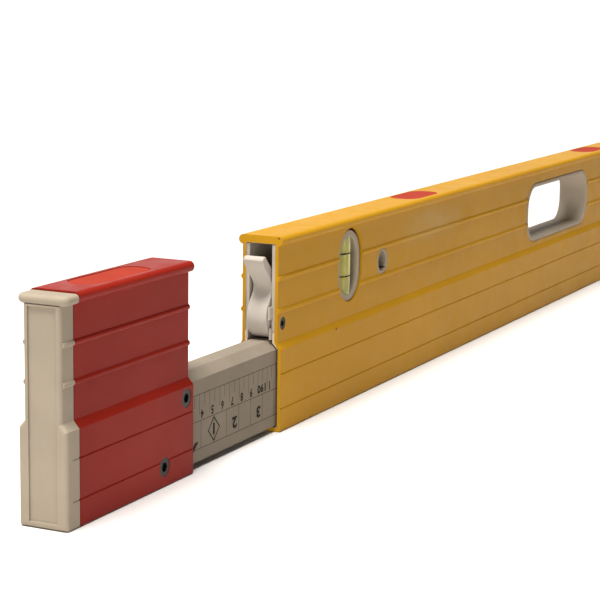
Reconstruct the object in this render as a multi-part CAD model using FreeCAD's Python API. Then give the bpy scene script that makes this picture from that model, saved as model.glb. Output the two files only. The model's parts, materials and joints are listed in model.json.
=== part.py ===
import FreeCAD, Part
import math
import os

# Extending box level, millimetres. A long outer level holds a scaled inner bar that slides out of its
# near end and carries a short standoff block. A cam lever in the mouth clamps the bar.
# Cross-sections are drawn in Y and Z and run along X. The origin is the middle of the underside.

os.makedirs("parts", exist_ok=True)
V = FreeCAD.Vector

# ---- overall lengths ----
closed_length = 1828.8
open_length = 3048.0
draw_out = 90.5          # gap between the standoff block and the outer level, as stored
seat_gap = 0.3           # what is left of that gap when the level is closed
block_length = 97.0
cap_length = 10.6
outer_length = closed_length - block_length - cap_length - seat_gap
stored_length = closed_length + draw_out - seat_gap
mouth_x = -stored_length / 2 + cap_length + block_length + draw_out
slide_out = open_length - stored_length

# ---- cross-section of the outer level and of the block ----
box_width = 24.0
height = 100.0
shoulder_low = 42.5
shoulder_high = 45.7
outer_web = 20.0
block_web = 18.4
flange_width = 24.6
flange_under = 95.0
wall = 1.8
floor = 2.0
ceiling = 96.0
neck_half = 7.0
neck_top = 51.0
foot_round = 0.9
rib_heights = (61.8, 78.6)
rib_rise = 0.9
rib_half = 1.3
groove_heights = (12.0, 30.0)
groove_depth = 0.35
groove_half = 0.5

# ---- inner bar ----
bar_half = 9.1
bar_bottom = 3.0
bar_side_top = 42.4
bar_top = 46.8
bar_flat_half = bar_half - (bar_top - bar_side_top)
bar_wall = 1.5
bar_far_end = 1590.0     # measured from the mouth, as stored
shoe_length = 12.0
play = 0.3               # running clearance between bodies

# ---- features of the outer level, measured from its mouth ----
plumb_x, plumb_z = 88.0, 74.0
plumb_width, plumb_height = 31.0, 40.4
frame_width, frame_height = 29.4, 39.0
frame_recess = 0.9
frame_hole_width, frame_hole_height = 22.6, 31.6
vial_radius = 9.0
vial_length = 35.0
vial_bore = 5.6
vial_belly = 0.5
ring_offset = 6.2
bubble_length = 11.0
level_width, level_height = 58.0, 31.0
level_vial_length = 52.0
eyelet_x, eyelet_z = 132.0, 70.2
eyelet_radius = 7.4
hang_radius = 5.6
grip_x, grip_z = 446.0, 69.0
grip_width, grip_height, grip_corner = 135.6, 40.6, 17.0
grip_wall = 3.0
grip_proud = 0.4
plug_x = (201.0, 543.0)
plug_length, plug_width, plug_depth = 44.0, 18.0, 2.4
block_plug_x = -144.0
block_plug_length, block_plug_width, block_plug_sink = 54.0, 16.5, 0.3

# ---- clamp in the mouth ----
lever_half = 5.6
pivot_x, pivot_z = 6.8, 58.8
pin_radius = 1.6
bush_radius = 3.0
cam_radius = 11.2
cam_throw = 0.3
cheek_inner = 6.3
housing_length = 28.0
housing_top = 95.6
housing_screw_x, housing_screw_z, housing_screw_radius = 6.0, 55.1, 3.3
lug_low, lug_high, lug_front, lug_outer = 57.8, 64.2, -3.0, 7.0
foot_low, foot_front, foot_outer = 47.3, -1.5, 6.8
stop_pin_radius, stop_pin_heights = 2.5, (14.0, 30.0)
stop_pin_x = bar_far_end - slide_out - 0.6 - stop_pin_radius

# ---- screws through the block ----
block_screw_places = ((-96.9, 37.2), (-116.8, 9.2))
screw_head_radius, screw_shank_radius = 4.5, 2.2
screw_head_depth = 2.2
hex_across = 4.2

# ---- end caps ----
cap_gap, cap_nose, cap_top = 0.4, 0.5, 99.2
cap_edge_round, flange_corner, flange_round = 1.8, 3.5, 1.9
recess_width, recess_low, recess_high, recess_depth = 13.8, 2.6, 94.2, 0.9
cap_rib_length, cap_groove_length = 8.2, 5.5


def save(name, shape):
    """Move a shape from the mouth's frame to the part's own frame and write it."""
    placed = shape.removeSplitter()
    placed.translate(V(mouth_x, 0, 0))
    placed.exportStep("parts/" + name + ".step")
    solids = len(placed.Solids)
    print(f"{name:28s} solids {solids}  volume {placed.Volume:12.1f}  valid {placed.isValid()}")


def mirrored(x):
    """The place on the far half of the outer level that matches x on the near half."""
    return outer_length - x


def path_edges(points, place):
    """Lines and arcs through points: (a, b) ends a line, ((a, b), (c, d)) is an arc by a, b to c, d."""
    edges = []
    here = points[0]
    for step in points[1:]:
        if isinstance(step[0], tuple):
            middle, end = step
            edges.append(Part.Arc(place(here), place(middle), place(end)).toShape())
        else:
            end = step
            edges.append(Part.LineSegment(place(here), place(end)).toShape())
        here = end
    return edges


def symmetric_bar(half, x0, x1):
    """Solid along X whose section is the half outline (first and last point on Y = 0) and its mirror."""
    edges = path_edges(half, lambda p: V(x0, p[0], p[1]))
    edges += path_edges(half, lambda p: V(x0, -p[0], p[1]))
    face = Part.Face(Part.Wire(Part.__sortEdges__(edges)))
    return face.extrude(V(x1 - x0, 0, 0))


def box_half_outline(web):
    """Half outline from the underside to the top of the shoulder, with the grooves in the box's side."""
    side = box_width / 2
    bend = foot_round * (1 - math.sqrt(0.5))
    points = [(0, 0), (side - foot_round, 0), ((side - bend, bend), (side, foot_round))]
    for z in groove_heights:
        points += [(side, z - groove_half), (side - groove_depth, z), (side, z + groove_half)]
    return points + [(side, shoulder_low), (web / 2, shoulder_high)]


def outline_half(web):
    """Half outline of the level: box, sloped shoulder, ribbed web and round-edged top flange."""
    web_half = web / 2
    nose = (height - flange_under) / 2
    edge = flange_width / 2 - nose
    points = box_half_outline(web)
    for z in rib_heights:
        points += [(web_half, z - rib_half), ((web_half + rib_rise, z), (web_half, z + rib_half))]
    points += [(web_half, flange_under), (edge, flange_under)]
    points += [((flange_width / 2, flange_under + nose), (edge, height)), (0, height)]
    return points


def cavity_half(web, side, low, shoulder):
    """Half outline of the hollow: bar channel below, neck, and the open chamber above."""
    chamber = web / 2 - wall
    slope = side - neck_half
    points = [(0, low), (side, low), (side, shoulder), (neck_half, shoulder + slope)]
    points += [(neck_half, neck_top), (chamber, neck_top), (chamber, ceiling), (0, ceiling)]
    return points


def bar_half_outline(inset=0.0):
    """Half outline of the inner bar: a box whose two top corners are cut at 45 degrees."""
    side = bar_half - inset
    cut = inset * (math.sqrt(2) - 1)
    return [(0, bar_bottom + inset), (side, bar_bottom + inset), (side, bar_side_top - cut),
            (bar_flat_half - cut, bar_top - inset), (0, bar_top - inset)]


def across(x, z, width, high, corner, y0, y1):
    """Solid through the web: a rounded rectangle in X and Z between two Y planes."""
    a, b = width / 2, high / 2
    c = min(corner, a - 0.01, b - 0.01)
    d = c * math.sqrt(0.5)
    points = [(-a + c, -b), (a - c, -b), ((a - c + d, -b + c - d), (a, -b + c)), (a, b - c),
              ((a - c + d, b - c + d), (a - c, b)), (-a + c, b), ((-a + c - d, b - c + d), (-a, b - c)),
              (-a, -b + c), ((-a + c - d, -b + c - d), (-a + c, -b))]
    edges = path_edges(points, lambda p: V(x + p[0], y0, z + p[1]))
    return Part.Face(Part.Wire(edges)).extrude(V(0, y1 - y0, 0))


def pocket(x, length, width, z0, z1):
    """Solid stadium in X and Y between two heights, for the flush top plugs."""
    r = width / 2
    solid = Part.makeBox(length - width, width, z1 - z0, V(x - length / 2 + r, -r, z0))
    for end in (-1, 1):
        solid = solid.fuse(Part.makeCylinder(r, z1 - z0, V(x + end * (length / 2 - r), 0, z0)))
    return solid.removeSplitter()


def rod_y(x, z, radius, y0, y1):
    """Cylinder along Y."""
    return Part.makeCylinder(radius, y1 - y0, V(x, y0, z), V(0, 1, 0))


def hexagon_y(x, z, flats, y0, y1):
    """Hexagonal prism along Y, for socket drives."""
    r = flats / math.sqrt(3)
    corners = [V(x + r * math.cos(k * math.pi / 3), y0, z + r * math.sin(k * math.pi / 3)) for k in range(7)]
    return Part.Face(Part.makePolygon(corners)).extrude(V(0, y1 - y0, 0))


# ---- outer level ----
def outer_profile():
    body = symmetric_bar(outline_half(outer_web), 0, outer_length - cap_length)
    hollow = cavity_half(outer_web, box_width / 2 - wall, floor, shoulder_low)
    cuts = [symmetric_bar(hollow, -1, outer_length)]
    deep = outer_web
    for x in (plumb_x, mirrored(plumb_x)):
        cuts.append(across(x, plumb_z, plumb_width, plumb_height, plumb_width / 2, -deep, deep))
    cuts.append(across(outer_length / 2, plumb_z, level_width, level_height, level_height / 2, -deep, deep))
    for x in (eyelet_x, mirrored(eyelet_x)):
        cuts.append(rod_y(x, eyelet_z, eyelet_radius, -deep, deep))
    for x in (grip_x, mirrored(grip_x)):
        cuts.append(across(x, grip_z, grip_width, grip_height, grip_corner, -deep, deep))
    for x in plug_x:
        for place in (x, mirrored(x)):
            cuts.append(pocket(place, plug_length, plug_width, height - plug_depth, height + 1))
    cuts.append(rod_y(housing_screw_x, housing_screw_z, housing_screw_radius, -deep, deep))
    for z in stop_pin_heights:
        cuts.append(rod_y(stop_pin_x, z, stop_pin_radius, 0, deep))
    return body.cut(cuts)


def cap_flange():
    """Rounded top slab of an end cap, from its joint at X = 0 to its nose at +X."""
    length = cap_length - cap_gap
    slab = Part.makeBox(length, flange_width, cap_top - flange_under, V(0, -flange_width / 2, flange_under))
    corners = [e for e in slab.Edges if e.Length < 5 and e.CenterOfMass.x > 1]
    slab = slab.makeFillet(flange_corner, corners)
    middle = (cap_top + flange_under) / 2
    rims = [e for e in slab.Edges if e.CenterOfMass.x > 1 and abs(e.CenterOfMass.z - middle) > 1]
    return slab.makeFillet(flange_round, rims)


def end_cap(web, plug_half, side):
    """Moulded cap with rounded outer edges, a shallow tray in its end face, ribs and grooves that fade out
    before the end, and a hollow plug that fills the end of the hollow. Drawn with its joint at X = 0 and its
    end towards +X."""
    end = cap_length - cap_nose
    half = [(0, 0), (box_width / 2, 0), (box_width / 2, shoulder_low), (web / 2, shoulder_high)]
    shank = symmetric_bar(half + [(web / 2, flange_under), (0, flange_under)], cap_gap, end)
    corners = [e for e in shank.Edges if e.CenterOfMass.z < 0.1 and abs(e.CenterOfMass.y) > 11]
    shank = shank.makeFillet(foot_round, corners)
    rim = [e for e in shank.Edges if all(v.X > end - 0.01 for v in e.Vertexes) and e.CenterOfMass.z < 94]
    shank = shank.makeFillet(cap_edge_round, rim)
    flange = cap_flange()
    flange.translate(V(cap_gap, 0, 0))
    tray = Part.makeBox(2, recess_width, recess_high - recess_low,
                        V(end - recess_depth, -recess_width / 2, recess_low))
    cap = shank.fuse(flange).cut(tray)
    for face in (-1, 1):
        for z in rib_heights:
            start = V(cap_gap, face * (web / 2 - rib_half + rib_rise), z)
            cap = cap.fuse(Part.makeCylinder(rib_half, cap_rib_length, start, V(1, 0, 0)))
        for z in groove_heights:
            start = V(0, face * (box_width / 2 + groove_half - groove_depth), z)
            cap = cap.cut(Part.makeCylinder(groove_half, cap_groove_length, start, V(1, 0, 0)))
    plug = Part.makeBox(17, 2 * plug_half, 40, V(-16, -plug_half, 52.5))
    cap = cap.fuse(plug.cut(Part.makeBox(14, 2 * plug_half - 4, 36, V(-16, 2 - plug_half, 54.5))))
    if side:
        foot = Part.makeBox(10, 2 * side, 36, V(-9, -side, floor + 0.4))
        cap = cap.fuse(foot.cut(Part.makeBox(7, 2 * side - 4, 32, V(-9, 2 - side, floor + 2.4))))
    return cap


def far_end_cap():
    cap = end_cap(outer_web, outer_web / 2 - wall, box_width / 2 - wall)
    cap.translate(V(outer_length - cap_length, 0, 0))
    return cap


def vial_barrel(length, radius, belly, along):
    """Barrel-shaped core of a vial, centred on the origin: a long shallow arc turned about its axis."""
    half = length / 2
    wire = Part.Wire(path_edges([(-half, 0), (-half, radius - belly), ((0, radius), (half, radius - belly)),
                                 (half, 0), (-half, 0)], lambda p: V(p[0], p[1], 0)))
    core = Part.Face(wire).revolve(V(0, 0, 0), V(1, 0, 0), 360)
    if along == "z":
        core.rotate(V(0, 0, 0), V(0, 1, 0), -90)
    return core


def vial_set(x, z, length, along, prefix):
    """Clear vial body, its coloured liquid with the bubble's room left out, and two marking rings."""
    axis = V(0, 0, 1) if along == "z" else V(1, 0, 0)
    centre = V(x, 0, z)
    whole = Part.makeCylinder(vial_radius, length, centre - axis * (length / 2), axis)
    core = vial_barrel(length - 8, vial_bore, vial_belly, along)
    core.translate(centre)
    bubble = vial_barrel(bubble_length, 2.6, 0.9, along)
    bubble.translate(centre + V(0, 0, vial_bore - 3.4 if along == "x" else 0))
    rings = []
    for side in (-1, 1):
        start = centre + axis * (side * ring_offset - 0.35)
        ring = Part.makeCylinder(vial_radius + 0.15, 0.7, start, axis)
        rings.append(ring.cut(Part.makeCylinder(vial_radius, 0.7, start, axis)))
    save(prefix + "_vial", whole.cut(core))
    save(prefix + "_liquid", core.cut(bubble))
    save(prefix + "_rings", Part.makeCompound(rings))
    return whole


def vial_frames(x, z, outer, inner, vial, shift, prefix):
    """Two moulded half frames that meet at Y = 0 and hold the vial's ends in a split socket."""
    face = outer_web / 2 - frame_recess
    for side, y0, y1 in (("front", -face, 0), ("back", 0, face)):
        ring = across(x + shift, z + shift, outer[0], outer[1], min(outer) / 2, y0, y1)
        ring = ring.cut(across(x + shift, z + shift, inner[0], inner[1], min(inner) / 2, y0 - 1, y1 + 1))
        front_edge = y0 if side == "front" else y1
        rim = [e for e in ring.Edges if abs(e.CenterOfMass.y - front_edge) < 1e-3]
        save(prefix + "_frame_" + side, ring.makeFillet(0.6, rim).cut(vial))


def plumb_vials():
    for prefix, x, shift in (("near_plumb", plumb_x, -0.5), ("far_plumb", mirrored(plumb_x), -0.5)):
        vial = vial_set(x, plumb_z, vial_length, "z", prefix)
        vial_frames(x, plumb_z, (frame_width, frame_height), (frame_hole_width, frame_hole_height),
                    vial, shift, prefix)


def level_vial():
    x = outer_length / 2
    vial = vial_set(x, plumb_z, level_vial_length, "x", "level")
    outer = (level_width - 0.6, level_height - 0.6)
    vial_frames(x, plumb_z, outer, (outer[0] - 8, outer[1] - 8), vial, 0, "level")


def eyelets():
    """Sleeve of each hanging hole, in two halves that meet at Y = 0."""
    face = outer_web / 2
    for prefix, x in (("near", eyelet_x), ("far", mirrored(eyelet_x))):
        for side, y0, y1 in (("front", -face, 0), ("back", 0, face)):
            sleeve = rod_y(x, eyelet_z, eyelet_radius - 0.1, y0, y1)
            sleeve = sleeve.cut(rod_y(x, eyelet_z, hang_radius, y0, y1))
            rim = [e for e in sleeve.Edges if abs(e.CenterOfMass.y - (y0 if side == "front" else y1)) < 1e-3]
            save(prefix + "_eyelet_" + side, sleeve.makeFillet(0.5, rim))


def grips():
    """Moulded liners of the hand holds, in two halves that meet inside the web."""
    face = outer_web / 2 + grip_proud
    for prefix, x in (("near", grip_x), ("far", mirrored(grip_x))):
        for side, y0, y1 in (("front", -face, 0), ("back", 0, face)):
            tube = across(x, grip_z, grip_width - 0.4, grip_height - 0.4, grip_corner - 0.2, y0, y1)
            tube = tube.cut(across(x, grip_z, grip_width - 2 * grip_wall, grip_height - 2 * grip_wall,
                                   grip_corner - grip_wall, y0, y1))
            rim = [e for e in tube.Edges if abs(e.CenterOfMass.y - (y0 if side == "front" else y1)) < 1e-3]
            tube = tube.makeFillet(0.8, rim)
            for z in (grip_z - 8.5, grip_z + 8.5):
                notch_y = y0 if side == "front" else y1 - 1.2
                for end in (-1, 1):
                    edge = x + end * (grip_width / 2 - 0.2)
                    tube = tube.cut(Part.makeBox(1.6, 1.2, 3.0, V(edge - 0.8, notch_y, z - 1.5)))
            save(prefix + "_grip_" + side, tube)


def top_plugs():
    for k, x in enumerate(plug_x, start=1):
        for prefix, place in (("near", x), ("far", mirrored(x))):
            plug = pocket(place, plug_length - 0.2, plug_width - 0.2, height - plug_depth, height)
            save(f"{prefix}_top_plug_{k}", plug)


# ---- clamp ----
def lever_housing():
    """Two cheeks against the web's inner faces, joined behind the cam. Each has an ear that carries the
    pin and a foot beside the bar. The front ear and both feet stand a little out of the mouth."""
    chamber = outer_web / 2 - wall
    low = neck_top + 0.2
    inner = lever_half + play
    parts = [Part.makeBox(2, 2 * chamber, housing_top - low, V(housing_length - 2, -chamber, low))]
    for side in (-1, 1):
        def plate(x0, x1, y0, y1, z0, z1):
            start = min(side * y0, side * y1)
            parts.append(Part.makeBox(x1 - x0, y1 - y0, z1 - z0, V(x0, start, z0)))
        plate(0.5, housing_length, cheek_inner, chamber, low, housing_top)
        plate(lug_front if side < 0 else 0.5, 12, inner, lug_outer, lug_low, lug_high)
        plate(foot_front, 5.5, inner, foot_outer, foot_low, low + 2)
    housing = parts[0].fuse(parts[1:])
    return housing.cut(rod_y(pivot_x, pivot_z, pin_radius, -chamber, chamber))


def housing_screws():
    """Flush socket screws through both web faces into the housing's cheeks."""
    screws = []
    for side in (-1, 1):
        outer = side * (outer_web / 2 - 0.3)
        inner = side * (outer_web / 2 - wall)
        low, high = min(outer, inner), max(outer, inner)
        screw = rod_y(housing_screw_x, housing_screw_z, housing_screw_radius, low, high)
        depth = outer - side * 1.2
        screws.append(screw.cut(hexagon_y(housing_screw_x, housing_screw_z, 3.0,
                                          min(outer, depth), max(outer, depth))))
    return Part.makeCompound(screws)


def clamp_lever():
    """Cam disc round the pin, waisted neck and a thumb end that leans out of the mouth."""
    cam = rod_y(pivot_x, pivot_z - cam_throw, cam_radius, -lever_half, lever_half)
    outer_edge = [V(-4.0, 0, 61.0), V(-1.6, 0, 66.2), V(2.7, 0, 73.9), V(0.2, 0, 78.0), V(-5.0, 0, 83.2),
                  V(-8.5, 0, 88.4)]
    inner_edge = [V(-4.8, 0, 90.0), V(1.0, 0, 84.4), V(6.4, 0, 78.5), V(8.6, 0, 73.0), V(12.6, 0, 67.4)]
    front, rear = Part.BSplineCurve(), Part.BSplineCurve()
    front.interpolate(outer_edge)
    rear.interpolate(inner_edge)
    tip = Part.Arc(outer_edge[-1], V(-7.5, 0, 89.8), inner_edge[0])
    base = Part.makePolygon([inner_edge[-1], V(pivot_x, 0, pivot_z), outer_edge[0]])
    wire = Part.Wire([front.toShape(), tip.toShape(), rear.toShape()] + base.Edges)
    arm = Part.Face(wire).extrude(V(0, 2 * lever_half, 0))
    arm.translate(V(0, -lever_half, 0))
    lever = cam.fuse(arm).removeSplitter()
    rims = [e for e in lever.Edges if abs(abs(e.CenterOfMass.y) - lever_half) < 1e-3 and e.CenterOfMass.z > 64]
    lever = lever.makeFillet(0.8, rims)
    return lever.cut(rod_y(pivot_x, pivot_z, bush_radius, -lever_half - 1, lever_half + 1))


def lever_bush():
    bush = rod_y(pivot_x, pivot_z, bush_radius, -lever_half, lever_half)
    return bush.cut(rod_y(pivot_x, pivot_z, pin_radius + 0.05, -lever_half, lever_half))


def lever_pin():
    chamber = outer_web / 2 - wall
    return rod_y(pivot_x, pivot_z, pin_radius, -chamber, chamber)


def brake_shoe():
    """Rubber wedge between the bar's flat top and the rear of the cam, hollowed to the cam's circle."""
    low = bar_top + play
    pad = Part.makeBox(16.5, 9.6, neck_top + 0.2 - low, V(11, -4.8, low))
    return pad.cut(rod_y(pivot_x, pivot_z, cam_radius + cam_throw + play, -6, 6))


def front_guide():
    """Thin U-shaped liner that carries the bar just inside the mouth."""
    side = box_width / 2 - wall
    length = 60.0
    liner = Part.makeBox(length, 2 * side, 36, V(15, -side, floor))
    inner = bar_half + play
    return liner.cut(Part.makeBox(length, 2 * inner, 36, V(15, -inner, bar_bottom - play)))


def stop_pins():
    """Two studs in the rear wall that the bar's guide shoe meets at full extension."""
    return Part.makeCompound([rod_y(stop_pin_x, z, stop_pin_radius, bar_half + play, box_width / 2 - 0.2)
                              for z in stop_pin_heights])


# ---- extension ----
def inner_bar():
    start = -draw_out - block_length
    body = symmetric_bar(bar_half_outline(), start, bar_far_end)
    body = body.cut(symmetric_bar(bar_half_outline(bar_wall), start - 1, bar_far_end + 1))
    return body.cut([rod_y(x, z, screw_shank_radius, -bar_half - 1, bar_half + 1)
                     for x, z in block_screw_places])


def block_screw(x, z, side):
    """Countersunk socket screw, driven from the front (side -1) or the back (side +1)."""
    face = side * (box_width / 2 - 0.2)
    direction = V(0, -side, 0)
    head = Part.makeCone(screw_head_radius, screw_shank_radius, screw_head_depth, V(x, face, z), direction)
    shank = Part.makeCylinder(screw_shank_radius, 4.8, V(x, face, z), direction)
    depth = face - side * 1.3
    return head.fuse(shank).cut(hexagon_y(x, z, hex_across, min(face, depth), max(face, depth)))


def block_screws():
    return Part.makeCompound([block_screw(x, z, side) for x, z in block_screw_places for side in (-1, 1)])


def standoff_block():
    start = -draw_out - block_length
    body = symmetric_bar(outline_half(block_web), start, -draw_out)
    hollow = cavity_half(block_web, bar_half, bar_bottom, bar_side_top)
    cuts = [symmetric_bar(hollow, start - 1, -draw_out + 1)]
    cuts.append(pocket(block_plug_x, block_plug_length, block_plug_width, height - plug_depth - 0.5, height + 1))
    for x, z in block_screw_places:
        for side in (-1, 1):
            face = side * box_width / 2
            seat = Part.makeCone(screw_head_radius, screw_shank_radius, screw_head_depth,
                                 V(x, face - side * 0.2, z), V(0, -side, 0))
            low, high = min(0, face), max(0, face)
            cuts.append(seat)
            cuts.append(rod_y(x, z, screw_head_radius, min(face, face - side * 0.2), max(face, face - side * 0.2)))
            cuts.append(rod_y(x, z, screw_shank_radius, low, high))
    return body.cut(cuts)


def block_top_plug():
    return pocket(block_plug_x, block_plug_length - 0.2, block_plug_width - 0.2,
                  height - plug_depth - 0.5, height - block_plug_sink)


def extension_cap():
    cap = end_cap(block_web, block_web / 2 - wall, 0)
    cap.rotate(V(0, 0, 0), V(0, 0, 1), 180)
    cap.translate(V(-draw_out - block_length, 0, 0))
    return cap


def rear_guide_shoe():
    """Moulded plug in the bar's inner end; its collar runs in the outer level's channel."""
    side = box_width / 2 - wall - 0.25
    collar = symmetric_bar([(0, floor + 0.3), (side, floor + 0.3), (side, 41.8), (5.6, 46.2), (0, 46.2)],
                           bar_far_end, bar_far_end + shoe_length)
    spigot = symmetric_bar(bar_half_outline(bar_wall), bar_far_end - 20, bar_far_end)
    core = symmetric_bar(bar_half_outline(bar_wall + 2), bar_far_end - 21, bar_far_end + shoe_length - 3)
    return collar.fuse(spigot).cut(core)


save("outer_profile", outer_profile())
save("far_end_cap", far_end_cap())
plumb_vials()
level_vial()
eyelets()
grips()
top_plugs()
save("lever_housing", lever_housing())
save("housing_screws", housing_screws())
save("lever_pin", lever_pin())
save("lever_bush", lever_bush())
save("clamp_lever", clamp_lever())
save("brake_shoe", brake_shoe())
save("front_guide", front_guide())
save("stop_pins", stop_pins())
save("inner_bar", inner_bar())
save("standoff_block", standoff_block())
save("block_top_plug", block_top_plug())
save("block_screws", block_screws())
save("extension_cap", extension_cap())
save("rear_guide_shoe", rear_guide_shoe())
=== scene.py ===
import json
import math

import bmesh
import bpy
from mathutils import Matrix, Vector


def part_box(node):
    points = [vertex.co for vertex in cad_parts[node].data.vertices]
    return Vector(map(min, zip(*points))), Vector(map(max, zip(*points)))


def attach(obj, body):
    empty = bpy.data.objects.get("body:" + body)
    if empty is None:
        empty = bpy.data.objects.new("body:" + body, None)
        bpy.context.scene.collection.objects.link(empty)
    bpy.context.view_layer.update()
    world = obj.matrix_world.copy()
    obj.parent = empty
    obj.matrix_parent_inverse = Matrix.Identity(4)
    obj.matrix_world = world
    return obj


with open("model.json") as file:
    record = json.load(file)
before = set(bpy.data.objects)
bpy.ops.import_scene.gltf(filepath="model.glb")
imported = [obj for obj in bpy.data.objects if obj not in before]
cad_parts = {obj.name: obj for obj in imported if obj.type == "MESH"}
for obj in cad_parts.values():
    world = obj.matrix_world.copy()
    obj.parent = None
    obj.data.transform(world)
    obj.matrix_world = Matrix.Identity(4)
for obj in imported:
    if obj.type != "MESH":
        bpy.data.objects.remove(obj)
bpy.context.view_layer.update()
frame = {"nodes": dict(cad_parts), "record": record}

MM = 0.001

# ---- places shared by every section, in metres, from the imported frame
mouth_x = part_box("outer_profile")[0].x          # the open end of the level's body
block_edge_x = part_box("standoff_block")[1].x    # the block's inner edge, where the printed scale starts
bar_face_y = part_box("inner_bar")[0].y           # the bar's front face

# ---- camera and light: lengths in metres, angles in degrees, powers in watts
camera_place = Vector((mouth_x - 0.83706, -0.42568, 0.23245))
camera_angles = (-64.272, -9.972, 0.8)          # yaw, pitch, roll
camera_lens_mm, camera_sensor_mm = 113.47, 36.0
floor_half = 14.0
floor_drop = 0.2 * MM
floor_colour = (0.70, 0.68, 0.665, 1)
sun_strength, sun_angle = 5.0, 28
sun_direction = (0.22, 0.0, -0.975)
sun_colour = (1.0, 0.975, 0.94)
lamp_colour = (1.0, 0.98, 0.95)
glow_colour = (1.0, 0.98, 0.96)
glow_distance, glow_direction = 4.2, Vector((0.88, 0.44, 0.19))
world_seen, world_lighting = 1.0, 0.10

# ---- each finish as its main colour and the one that clouds it
YELLOW = (0.47, 0.238, 0.011), (0.44, 0.220, 0.009)
YELLOW_HAZE = (0.50, 0.37, 0.18)
RED = (0.265, 0.017, 0.009), (0.22, 0.013, 0.007)
CHIPPED = (0.05, 0.03, 0.02)
# bare drawn aluminium, tinted warm tan and lightened to stand in for light bounced off the coloured walls
# inside the hollow
DRAWN_METAL_AND_BOUNCE_TINT = (0.62, 0.50, 0.36), (0.74, 0.62, 0.46)
BAR_GREY = (0.225, 0.19, 0.145), (0.25, 0.21, 0.165)
BAR_RUBBED = (0.20, 0.165, 0.13)
BAR_SPECK = (0.04, 0.035, 0.03)
CREAM = (0.35, 0.295, 0.224), (0.325, 0.273, 0.207)
# painted shade colour for the shadowed seam gap in an eyelet's front ring
SLIT_SHADE_COLOUR = (0.02, 0.012, 0.008)
IVORY = (0.46, 0.415, 0.36), (0.43, 0.385, 0.335)
GUIDE_GREY = (0.09, 0.09, 0.095), (0.07, 0.07, 0.075)
PLUG_RED = (0.335, 0.040, 0.023), (0.305, 0.035, 0.020)
RUBBER = (0.03, 0.03, 0.03), (0.022, 0.022, 0.022)
ACRYLIC = (0.74, 0.68, 0.15), (0.66, 0.62, 0.11)
LIQUID = (0.68, 0.66, 0.04), (0.60, 0.60, 0.03)
INK = (0.022, 0.02, 0.017), (0.07, 0.06, 0.05)
PLATED = (0.022, 0.020, 0.018)
BLACK_STEEL = (0.03, 0.03, 0.03)
BRASS = (0.55, 0.38, 0.14)


# ---------------------------------------------------------------- camera, floor and light
def camera():
    """A long-lens view from beyond the extension's end, a little above it and in front of it."""
    yaw, pitch, roll = (math.radians(angle) for angle in camera_angles)
    forward = Vector((-math.sin(yaw) * math.cos(pitch), math.cos(yaw) * math.cos(pitch), math.sin(pitch)))
    level_right = Vector((math.cos(yaw), math.sin(yaw), 0))
    level_up = level_right.cross(forward)
    right = level_right * math.cos(roll) + level_up * math.sin(roll)
    up = level_up * math.cos(roll) - level_right * math.sin(roll)
    data = bpy.data.cameras.new("camera")
    data.lens = camera_lens_mm
    data.sensor_width = camera_sensor_mm
    data.clip_start, data.clip_end = 0.05, 50.0
    cam = bpy.data.objects.new("camera", data)
    turn = Matrix((right, up, -forward)).transposed().to_4x4()
    cam.matrix_world = Matrix.Translation(camera_place) @ turn
    bpy.context.collection.objects.link(cam)
    bpy.context.scene.camera = cam


def floor():
    """Pale matt paper, a hair below the object."""
    mesh = bpy.data.meshes.new("floor")
    corners = [(-floor_half, -floor_half, 0), (floor_half, -floor_half, 0),
               (floor_half, floor_half, 0), (-floor_half, floor_half, 0)]
    mesh.from_pydata(corners, [], [(0, 1, 2, 3)])
    sheet = bpy.data.objects.new("floor", mesh)
    sheet.location.z = -floor_drop
    bpy.context.collection.objects.link(sheet)
    paper = bpy.data.materials.new("paper")
    paper.use_nodes = True
    shader = paper.node_tree.nodes["Principled BSDF"]
    shader.inputs["Base Color"].default_value = floor_colour
    shader.inputs["Roughness"].default_value = 1.0
    shader.inputs["Specular IOR Level"].default_value = 0.0
    mesh.materials.append(paper)


def studio_world():
    """Soft even surround, seen as plain white, directly and through the clear vials."""
    world = bpy.data.worlds.new("studio")
    world.use_nodes = True
    nodes, links = world.node_tree.nodes, world.node_tree.links
    sky = nodes["Background"]
    sky.inputs["Color"].default_value = (1.0, 1.0, 1.0, 1)
    ray = nodes.new("ShaderNodeLightPath")
    level = nodes.new("ShaderNodeMapRange")
    level.inputs["To Min"].default_value = world_lighting
    level.inputs["To Max"].default_value = world_seen
    seen = nodes.new("ShaderNodeMath")
    seen.operation = "MAXIMUM"
    links.new(ray.outputs["Is Camera Ray"], seen.inputs[0])
    links.new(ray.outputs["Is Transmission Ray"], seen.inputs[1])
    links.new(seen.outputs[0], level.inputs["Value"])
    links.new(level.outputs[0], sky.inputs["Strength"])
    bpy.context.scene.world = world
    bpy.context.scene.view_settings.view_transform = "Standard"


def facing(direction):
    """Turn that points a lamp's beam along direction."""
    return Vector(direction).to_track_quat("-Z", "Y").to_euler()


def area_light(name, place, aim, size, power, colour):
    data = bpy.data.lights.new(name, "AREA")
    data.shape = "RECTANGLE"
    data.size, data.size_y = size
    data.energy = power
    data.color = colour
    lamp = bpy.data.objects.new(name, data)
    lamp.location = place
    lamp.rotation_euler = facing(Vector(aim) - Vector(place))
    bpy.context.collection.objects.link(lamp)


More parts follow.
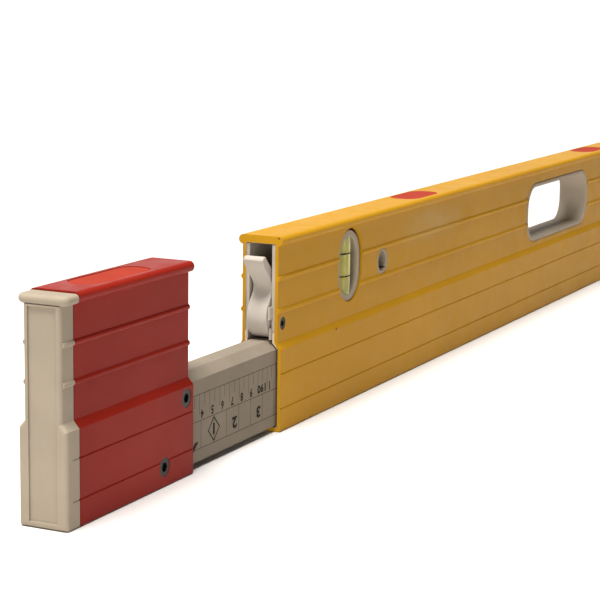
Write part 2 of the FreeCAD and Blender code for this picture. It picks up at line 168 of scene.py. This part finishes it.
def lights():
    """A broad high sun, a glow behind the level, a lamp over the mouth and a low one in front of it."""
    sun = bpy.data.lights.new("key", "SUN")
    sun.energy = sun_strength
    sun.angle = math.radians(sun_angle)
    sun.color = sun_colour
    key = bpy.data.objects.new("key", sun)
    key.rotation_euler = facing(sun_direction)
    bpy.context.collection.objects.link(key)
    mouth = Vector((mouth_x, 0, 0.1))
    area_light("backdrop_glow", mouth + glow_direction * glow_distance, mouth, (3.6, 1.3), 12, glow_colour)
    area_light("near_key", (mouth_x - 0.3, 0.1, 1.15), (mouth_x - 0.05, 0, 0.1), (0.6, 0.6), 7, lamp_colour)
    area_light("front_fill", (mouth_x - 2.6, -0.45, 0.185), (mouth_x, 0, 0.08), (0.52, 0.35), 21,
               lamp_colour)


# ---------------------------------------------------------------- material tools
class Nodes:
    """Short way to write a node tree: add() makes a node, sets its plain inputs and links the others."""

    def __init__(self, name, specular=None):
        self.material = bpy.data.materials.new(name)
        self.material.use_nodes = True
        self.tree = self.material.node_tree
        self.shader = self.tree.nodes["Principled BSDF"]
        self.place = self.add("ShaderNodeTexCoord").outputs["Object"]
        if specular is not None:
            self.put(self.shader.inputs["Specular IOR Level"], specular)

    def add(self, kind, settings=None, **inputs):
        """Inputs are named, with _ for a space, or numbered as i0, i1 and so on."""
        node = self.tree.nodes.new(kind)
        for key, value in (settings or {}).items():
            setattr(node, key, value)
        for key, value in inputs.items():
            numbered = key[0] == "i" and key[1:].isdigit()
            self.put(node.inputs[int(key[1:]) if numbered else key.replace("_", " ")], value)
        return node

    def put(self, socket, value):
        if isinstance(value, bpy.types.NodeSocket):
            self.tree.links.new(value, socket)
        elif isinstance(value, tuple) and len(value) == 3 and socket.type == "RGBA":
            socket.default_value = (*value, 1)
        else:
            socket.default_value = value

    def math(self, operation, a, b=0.0):
        return self.add("ShaderNodeMath", {"operation": operation}, i0=a, i1=b).outputs[0]

    def vector(self, operation, a, b=(0, 0, 0), output=0):
        return self.add("ShaderNodeVectorMath", {"operation": operation}, i0=a, i1=b).outputs[output]

    def ramp(self, value, low, high, to_low=0.0, to_high=1.0):
        """Smoothly carry value from low..high to to_low..to_high."""
        return self.add("ShaderNodeMapRange", {"interpolation_type": "SMOOTHSTEP"}, i0=value, i1=low, i2=high,
                        i3=to_low, i4=to_high).outputs[0]

    def noise(self, scale, detail=3.0, stretch=None, roughness=0.5):
        """Noise of scale per metre; stretch below 1 draws it out along that axis."""
        where = self.place
        if stretch:
            where = self.add("ShaderNodeMapping", None, Vector=self.place, Scale=stretch).outputs[0]
        return self.add("ShaderNodeTexNoise", None, Vector=where, Scale=scale, Detail=detail,
                        Roughness=roughness).outputs[0]

    def mix(self, factor, a, b):
        """Colour a where factor is 0 and b where it is 1."""
        return self.add("ShaderNodeMix", {"data_type": "RGBA"}, i0=factor, i6=a, i7=b).outputs[2]

    def axes(self):
        return self.add("ShaderNodeSeparateXYZ", None, Vector=self.place).outputs[:3]

    def bump(self, height, distance, strength=1.0, rounding=0.0):
        """Relief from height, with the edges softened by rounding."""
        node = self.add("ShaderNodeBump", None, Height=height, Distance=distance, Strength=strength)
        if rounding:
            edge = self.add("ShaderNodeBevel", {"samples": 4}, Radius=rounding)
            self.put(node.inputs["Normal"], edge.outputs[0])
        self.put(self.shader.inputs["Normal"], node.outputs[0])

    def finish(self, **sockets):
        for key, value in sockets.items():
            self.put(self.shader.inputs[key.replace("_", " ")], value)
        return self.material


# ---------------------------------------------------------------- masks
def spots(n, places):
    """Small dark marks: 1 inside any of the balls (x, y, z, radius), ragged at the edge."""
    ragged_edge = 0.9 * MM
    ragged = n.math("MULTIPLY", n.noise(2600, 2), ragged_edge)
    total = 0.0
    for x, y, z, radius in places:
        gap = n.vector("DISTANCE", n.place, (x, y, z), "Value")
        ball = n.ramp(n.math("ADD", gap, ragged), radius, radius + ragged_edge, 1.0, 0.0)
        total = n.math("MAXIMUM", total, ball)
    return total


def slit(n, centre_x, centre_z, half_length, half_height):
    """Painted shade: a thin dark line low in an eyelet's front ring, where the seam gap between its halves lies
    in shadow.
    """
    x, y, z = n.axes()
    wide = n.math("LESS_THAN", n.math("ABSOLUTE", n.math("SUBTRACT", x, centre_x)), half_length)
    tall = n.math("LESS_THAN", n.math("ABSOLUTE", n.math("SUBTRACT", z, centre_z)), half_height)
    in_front = n.math("LESS_THAN", y, 0.0)
    return n.math("MULTIPLY", n.math("MULTIPLY", wide, tall), in_front)


def hollow(n, chamber_half, channel_half, channel_low):
    """The profile's inner walls: a wide channel low down, narrowing through its shoulders to the chamber."""
    skin = 0.05 * MM
    shoulder_z, shoulder_slope, chamber_top = 42.5 * MM, 0.62, 96 * MM
    y, z = n.axes()[1:]
    narrowing = n.math("MULTIPLY", n.math("MAXIMUM", n.math("SUBTRACT", z, shoulder_z), 0.0), shoulder_slope)
    half = n.math("MAXIMUM", n.math("SUBTRACT", channel_half + skin, narrowing), chamber_half + skin)
    tall = n.math("MULTIPLY", n.math("GREATER_THAN", z, channel_low - skin),
                  n.math("LESS_THAN", z, chamber_top + skin))
    return n.math("MULTIPLY", n.math("LESS_THAN", n.math("ABSOLUTE", y), half), tall)


def haze(n, centre, size):
    """A worn, mottled cloud that fades out at the ellipsoid's surface."""
    gap = n.vector("DIVIDE", n.vector("SUBTRACT", n.place, centre), size)
    gap = n.vector("LENGTH", gap, output="Value")
    return n.math("MULTIPLY", n.ramp(gap, 0.4, 1.0, 0.45, 0.0), n.noise(170, 3, (0.3, 1, 1)))


# ---------------------------------------------------------------- materials
def powder_coat(name, colours, specular, rough, walls, marks=(), hazed=None):
    """Glossy powder coat outside, with orange peel and die lines; bare drawn aluminium in the hollow, tinted
    warm tan and lightened as painted bounce light from the coloured walls.
    """
    n = Nodes(name, specular)
    colour, deep = colours
    inside = hollow(n, *walls)
    peel = n.noise(1100, 2)
    die_lines = n.noise(900, 2, (0.002, 1, 1))
    rubs = n.ramp(n.noise(260, 4, (0.12, 1, 1), 0.65), 0.66, 0.80)
    paint = n.mix(n.ramp(n.noise(14, 4), 0.3, 0.7), colour, deep)
    paint = n.mix(n.math("MULTIPLY", rubs, 0.28), paint, tuple(c * 0.5 for c in deep))
    if hazed:
        paint = n.mix(haze(n, *hazed), paint, YELLOW_HAZE)
    if marks:
        paint = n.mix(spots(n, marks), paint, CHIPPED)
    # painted bounce light: the hollow's aluminium colour is warmed and lightened in place of light reflected
    # inside the profile
    metal_and_bounce_tint = n.mix(n.ramp(die_lines, 0.25, 0.75), *DRAWN_METAL_AND_BOUNCE_TINT)
    relief = n.math("ADD", n.math("MULTIPLY", peel, 0.6), n.math("MULTIPLY", die_lines, 0.25))
    n.bump(relief, 0.03 * MM, 0.6, 0.25 * MM)
    return n.finish(Base_Color=n.mix(inside, paint, metal_and_bounce_tint), Metallic=n.math("MULTIPLY", inside, 0.2),
                    Roughness=n.ramp(n.noise(90, 3), 0.3, 0.7, rough, rough + 0.1))


def bar_paint(name, marks):
    """Satin warm-grey paint, rubbed along its length by the guides."""
    n = Nodes(name, specular=0.03)
    streak = n.noise(700, 3, (0.01, 1, 1))
    grain = n.noise(2400, 2)
    paint = n.mix(n.ramp(n.noise(45, 4), 0.3, 0.7), *BAR_GREY)
    paint = n.mix(n.ramp(streak, 0.62, 0.78, 0.0, 0.35), paint, BAR_RUBBED)
    paint = n.mix(spots(n, marks), paint, BAR_SPECK)
    n.bump(n.math("ADD", n.math("MULTIPLY", grain, 0.5), streak), 0.04 * MM, 0.6, 0.3 * MM)
    return n.finish(Base_Color=paint, Roughness=n.ramp(streak, 0.3, 0.7, 0.62, 0.75))


def moulded(name, colours, rough=0.45, grain_size=1100, depth=0.04 * MM, specular=0.035, slit_shadow_place=None):
    """Injection-moulded plastic: faint cloudiness, spark-eroded grain and softened edges; where given, a
    painted shade line for a seam gap.
    """
    n = Nodes(name, specular)
    grain = n.noise(grain_size, 3)
    plastic = n.mix(n.ramp(n.noise(60, 4), 0.3, 0.7), *colours)
    # painted shade: a dark line standing in for the shadow in the eyelet's seam gap
    if slit_shadow_place:
        plastic = n.mix(slit(n, *slit_shadow_place), plastic, SLIT_SHADE_COLOUR)
    n.bump(grain, depth, 0.6, 0.3 * MM)
    return n.finish(Base_Color=plastic, Roughness=n.ramp(grain, 0.3, 0.7, rough - 0.05, rough + 0.08))


def turned_metal(name, colour, rough):
    """Plated or plain metal with fine turning marks."""
    n = Nodes(name)
    turned = n.noise(3000, 2)
    n.bump(turned, 0.03 * MM, 0.7, 0.15 * MM)
    tone = n.mix(n.ramp(n.noise(400, 3), 0.3, 0.7), colour, tuple(c * 0.7 for c in colour))
    return n.finish(Base_Color=tone, Metallic=0.7, Roughness=n.ramp(turned, 0.3, 0.7, rough, rough + 0.12))


def vial_plastic(name, colours, through):
    """Tinted clear acrylic or liquid: partly clear, with slight swirls in the colour."""
    n = Nodes(name)
    swirl = n.noise(160, 3)
    n.bump(swirl, 0.02 * MM, 0.3)
    return n.finish(Transmission_Weight=through, IOR=1.45, Base_Color=n.mix(n.ramp(swirl, 0.3, 0.7), *colours),
                    Roughness=n.ramp(n.noise(500, 2), 0.3, 0.7, 0.05, 0.12))


def ink():
    """Printed black of the scale, a little uneven in gloss."""
    n = Nodes("ink", specular=0.03)
    wear = n.noise(1800, 3)
    n.bump(wear, 0.01 * MM, 0.4)
    return n.finish(Base_Color=n.mix(n.ramp(wear, 0.55, 0.8), *INK),
                    Roughness=n.ramp(wear, 0.3, 0.7, 0.5, 0.65))


def yellow_coat():
    """The body's coat: chips on the flange and near the corners, pinholes by the hand hold, one hazy patch."""
    hand_hold_x = mouth_x + 377.4 * MM
    marks = ((mouth_x, -10.2 * MM, 99.0 * MM, 0.5 * MM),
             (mouth_x + 66.7 * MM, -12 * MM, 42.3 * MM, 0.7 * MM),
             (mouth_x + 35.9 * MM, -12 * MM, 0.4 * MM, 0.8 * MM),
             (hand_hold_x, -10 * MM, 80.5 * MM, 0.9 * MM),
             (hand_hold_x, -10 * MM, 62.9 * MM, 0.9 * MM))
    hazed = (mouth_x + 205 * MM, -10 * MM, 83 * MM), (62 * MM, 6 * MM, 13 * MM)
    return powder_coat("yellow_coat", YELLOW, 0.05, 0.36, (8.2 * MM, 10.2 * MM, 2 * MM), marks, hazed)


def finishes():
    """Each material by the name of its slot in the record."""
    # where the painted shade line of the eyelet's seam gap lies
    eyelet_slit_shadow = (mouth_x + 132 * MM, 66.3 * MM, 4.2 * MM, 0.45 * MM)
    bar_speck = (mouth_x - 52.3 * MM, -1.0 * MM, 46.8 * MM, 0.5 * MM)
    return {
        "yellow_coating": yellow_coat(),
        "red_coating": powder_coat("red_coat", RED, 0.05, 0.28, (7.4 * MM, 9.1 * MM, 3 * MM)),
        "grey_coating": bar_paint("bar_paint", (bar_speck,)),
        "cream_plastic": moulded("cream_plastic", CREAM, slit_shadow_place=eyelet_slit_shadow),
        "ivory_plastic": moulded("ivory_plastic", IVORY, 0.4, 1500, 0.02 * MM),
        "guide_plastic": moulded("guide_plastic", GUIDE_GREY, 0.5),
        "red_plastic": moulded("red_plastic", PLUG_RED, 0.6, 900, 0.03 * MM, 0.02),
        "rubber": moulded("rubber", RUBBER, 0.6, 700, 0.05 * MM),
        "vial_acrylic": vial_plastic("vial_acrylic", ACRYLIC, 0.6),
        "vial_liquid": vial_plastic("vial_liquid", LIQUID, 0.5),
        "black_mark": ink(),
        "steel": turned_metal("plated_steel", PLATED, 0.35),
        "black_steel": turned_metal("black_steel", BLACK_STEEL, 0.4),
        "brass": turned_metal("brass", BRASS, 0.3),
    }


def dress_nodes(by_slot):
    """Give every CAD node its material by what it is made of."""
    for part in frame["record"]["subparts"]:
        for slot in frame["nodes"][part["node"]].material_slots:
            slot.material = by_slot[part["material_slot"]]


# ---------------------------------------------------------------- printed scale
class Print:
    """Flat ink on the bar's front face, gathered into one mesh. u runs along +X, v up +Z."""

    thickness = 0.03 * MM

    def __init__(self):
        self.face_y = bar_face_y - self.thickness
        self.verts = []
        self.faces = []
        self.glyphs = {}

    def patch(self, points):
        start = len(self.verts)
        self.verts += [(u, self.face_y, v) for u, v in points]
        self.faces.append(tuple(range(start, start + len(points))))

    def box(self, u0, u1, v0, v1):
        self.patch([(u0, v0), (u1, v0), (u1, v1), (u0, v1)])

    def tick(self, u, low, high, line):
        self.box(u - line / 2, u + line / 2, low, high)

    def diamond(self, u, v, wide, tall, line):
        """Outline of a diamond as four strips of about the line's width."""
        corners = [(wide / 2, 0), (0, tall / 2), (-wide / 2, 0), (0, -tall / 2)]
        shrink = 1 - 2 * line / min(wide, tall) * math.sqrt(2)
        for a, b in zip(corners, corners[1:] + corners[:1]):
            self.patch([(u + a[0], v + a[1]), (u + b[0], v + b[1]),
                        (u + b[0] * shrink, v + b[1] * shrink), (u + a[0] * shrink, v + a[1] * shrink)])

    def glyph(self, text, bold):
        """Points and faces of one text from the built-in font, one unit tall and centred."""
        key = (text, bold)
        if key not in self.glyphs:
            curve = bpy.data.curves.new("glyph", "FONT")
            curve.body = text
            curve.align_x = "CENTER"
            curve.offset = bold
            curve.resolution_u = 3
            maker = bpy.data.objects.new("glyph", curve)
            bpy.context.collection.objects.link(maker)
            mesh = bpy.data.meshes.new_from_object(maker)
            points = [(p.co.x, p.co.y) for p in mesh.vertices]
            faces = [tuple(f.vertices) for f in mesh.polygons]
            bpy.data.objects.remove(maker)
            bpy.data.meshes.remove(mesh)
            left, right = min(p[0] for p in points), max(p[0] for p in points)
            low, high = min(p[1] for p in points), max(p[1] for p in points)
            points = [((px - (left + right) / 2) / (high - low), (py - (low + high) / 2) / (high - low))
                      for px, py in points]
            self.glyphs[key] = (points, faces)
        return self.glyphs[key]

    def text(self, text, u, v, tall, bold, widen):
        """Text centred at (u, v) and turned half round, as the scale reads from the far side."""
        points, faces = self.glyph(text, bold)
        start = len(self.verts)
        self.verts += [(u - px * tall * widen, self.face_y, v - py * tall) for px, py in points]
        self.faces += [tuple(start + i for i in f) for f in faces]

    def make(self, material):
        """One mesh, all faces turned to the front, riding on the bar."""
        mesh = bpy.data.meshes.new("printed_scale")
        mesh.from_pydata(self.verts, [], self.faces)
        mesh.validate()
        bm = bmesh.new()
        bm.from_mesh(mesh)
        for face in bm.faces:
            face.normal_update()
            if face.normal.y > 0:
                face.normal_flip()
        bm.to_mesh(mesh)
        bm.free()
        mesh.materials.append(material)
        piece = bpy.data.objects.new("printed_scale", mesh)
        bpy.context.collection.objects.link(piece)
        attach(piece, "extension")


# ---- the scale's layout: its ruled lines, how far digits are fattened, and what it reads at the block and last
line = 0.25 * MM
scale_top, scale_middle, scale_low = 35.2 * MM, 22.4 * MM, 9.0 * MM
light_face, bold_face = 0.035, 0.045
closed_feet, closed_cm, last_cm = 6, 182.88, 305
inch = 25.4 * MM


def centimetres(scale_ink):
    """Upper band: a long tick and a digit each centimetre, a shorter tick each half, tens in full."""
    long_tick, half_tick = 9.7 * MM, 6.0 * MM
    digit_tall, digit_u, digit_v = 4.3 * MM, 2.7 * MM, scale_middle + 3.0 * MM
    tens_tall, tens_u, tens_step, tens_v = 4.2 * MM, 7.9 * MM, 3.4 * MM, scale_middle + 3.1 * MM
    for cm in range(math.ceil(closed_cm), last_cm + 1):
        u = block_edge_x + (cm - closed_cm) * 10 * MM
        scale_ink.tick(u, scale_top - long_tick, scale_top, line)
        scale_ink.tick(u + 5 * MM, scale_top - half_tick, scale_top, line)
        if cm % 10:
            scale_ink.text(str(cm % 10), u + digit_u, digit_v, digit_tall, light_face, 0.95)
        else:
            for k, digit in enumerate(str(cm)):
                scale_ink.text(digit, u + tens_u - tens_step * k, tens_v, tens_tall, bold_face, 1.2)


def inches(scale_ink, length):
    """Lower band: a tick each half inch; the first of each foot in a diamond, the feet counted in full."""
    label_u, label_v = -4.3 * MM, 14.2 * MM
    band_centre = (scale_low + scale_middle) / 2
    for count in range(0, int(length / inch) + 1):
        u = block_edge_x + count * inch
        scale_ink.tick(u, scale_low, scale_middle, line)
        scale_ink.tick(u + inch / 2, scale_low, scale_middle, line)
        feet, left_over = divmod(count, 12)
        if left_over == 1:
            scale_ink.diamond(u, band_centre, 12.0 * MM, 12.6 * MM, 0.7 * MM)
            scale_ink.text("1", u, band_centre, 5.6 * MM, bold_face, 1.3)
        elif left_over:
            scale_ink.text(str(left_over), u + label_u, label_v, 5.9 * MM, bold_face, 1.3)
        else:
            scale_ink.text(str(closed_feet + feet), u + label_u, label_v, 7.0 * MM, bold_face, 1.1)


def printed_scale(material):
    """Centimetres above and inches below, counting up along +X from the block, with a slanted mark there."""
    scale_ink = Print()
    length = (last_cm + 1 - closed_cm) * 10 * MM
    for v in (scale_top, scale_middle, scale_low):
        scale_ink.box(block_edge_x - 20 * MM, block_edge_x + length, v - line / 2, v + line / 2)
    centimetres(scale_ink)
    inches(scale_ink, length)
    wedge_low, wedge_high = 7.0 * MM, 12.6 * MM
    scale_ink.patch([(block_edge_x + 0.4 * MM, wedge_low), (block_edge_x + 4.0 * MM, wedge_low),
                  (block_edge_x + 10.2 * MM, wedge_high), (block_edge_x + 6.8 * MM, wedge_high)])
    scale_ink.make(material)


camera()
floor()
studio_world()
lights()
materials = finishes()
dress_nodes(materials)
printed_scale(materials["black_mark"])
